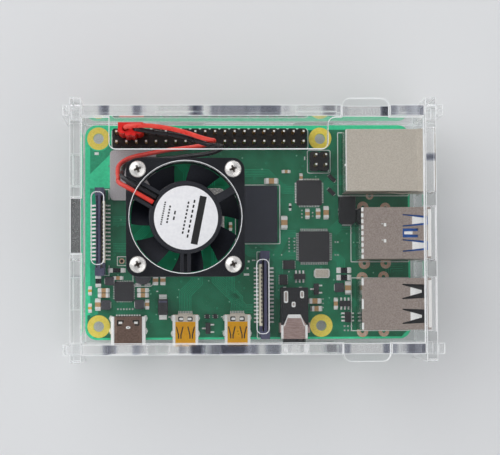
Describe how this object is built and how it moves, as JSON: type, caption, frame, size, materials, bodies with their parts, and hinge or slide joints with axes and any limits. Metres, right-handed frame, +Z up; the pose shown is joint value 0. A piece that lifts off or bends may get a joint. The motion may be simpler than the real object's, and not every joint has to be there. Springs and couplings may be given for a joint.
{
  "type": "single board computer",
  "caption": "Credit-card-size single board computer with pin header and ports, in a clear laser-cut box case whose lid carries a small cooling fan.",
  "frame": {"origin": "centre of the case's footprint, on the surface that the walls' lower edges stand on", "axes": "+Z up through the lid, +X towards the network and USB sockets, +Y towards the 40-pin header"},
  "size_m": [0.0962, 0.0666, 0.0289],
  "materials": {
    "clear_acrylic": "clear, polished faces and glossy laser-cut edges",
    "fan_plastic": "satin black",
    "black_plastic": "satin moulded",
    "chip_black": "matt moulding compound",
    "cream_plastic": "satin moulded",
    "blue_plastic": "satin moulded",
    "red_plastic": "glossy moulded",
    "red_insulation": "soft gloss vinyl",
    "black_insulation": "soft gloss vinyl",
    "white_label": "satin film",
    "board_green": "solder mask over glass laminate",
    "nickel": "nickel plated",
    "satin_steel": "satin tin plated",
    "gold_plate": "thin gold plated",
    "bronze": "satin bronze tone",
    "copper_winding": "enamelled wire on steel core",
    "magnet": "dull grey"
  },
  "bodies": {
    "case_and_board": {"case_top_plate": "clear_acrylic", "case_bottom_plate": "clear_acrylic", "case_front_wall": "clear_acrylic", "case_back_wall": "clear_acrylic", "case_left_wall": "clear_acrylic", "case_right_wall": "clear_acrylic", "fan_frame": "fan_plastic", "fan_label": "white_label", "fan_bearing": "bronze", "fan_stator": "copper_winding", "fan_screw_1": "nickel", "fan_screw_2": "nickel", "fan_screw_3": "nickel", "fan_screw_4": "nickel", "fan_nut_1": "nickel", "fan_nut_2": "nickel", "fan_nut_3": "nickel", "fan_nut_4": "nickel", "fan_lead_red": "red_insulation", "fan_lead_black": "black_insulation", "fan_plug": "red_plastic", "circuit_board": "board_green", "gpio_header": "black_plastic", "poe_header": "black_plastic", "ethernet_shell": "satin_steel", "ethernet_insert": "black_plastic", "usb3_shell": "satin_steel", "usb3_insert": "blue_plastic", "usb2_shell": "satin_steel", "usb2_insert": "black_plastic", "usb_c_shell": "bronze", "usb_c_tongue": "black_plastic", "hdmi_1_shell": "gold_plate", "hdmi_1_tongue": "black_plastic", "hdmi_2_shell": "gold_plate", "hdmi_2_tongue": "black_plastic", "audio_jack_body": "black_plastic", "audio_jack_cover": "satin_steel", "display_connector": "cream_plastic", "camera_connector": "cream_plastic", "soc_package": "board_green", "soc_lid": "satin_steel", "ram_chip": "chip_black", "wifi_shield": "satin_steel", "usb_controller": "chip_black", "ethernet_phy": "chip_black", "power_chip": "chip_black", "sd_card_socket": "satin_steel", "power_inductor": "chip_black", "input_diode": "chip_black", "bulk_capacitor": "chip_black", "crystal": "satin_steel"},
    "fan_wheel": {"fan_rotor": "fan_plastic", "fan_shaft": "satin_steel", "fan_magnet_ring": "magnet"},
    "display_latch_bar": {"display_latch": "chip_black"},
    "camera_latch_bar": {"camera_latch": "chip_black"}
  },
  "joints": [
    {"name": "fan_spin", "type": "hinge", "parent": "case_and_board", "child": "fan_wheel", "pos_m": [-0.0172, 0.0033, 0.0202], "axis": [0, 0, 1], "continuous": true},
    {"name": "display_latch_slide", "type": "slide", "parent": "case_and_board", "child": "display_latch_bar", "axis": [0, 0, 1], "range_m": [0, 0.001]},
    {"name": "camera_latch_slide", "type": "slide", "parent": "case_and_board", "child": "camera_latch_bar", "axis": [0, 0, 1], "range_m": [0, 0.001]}
  ]
}
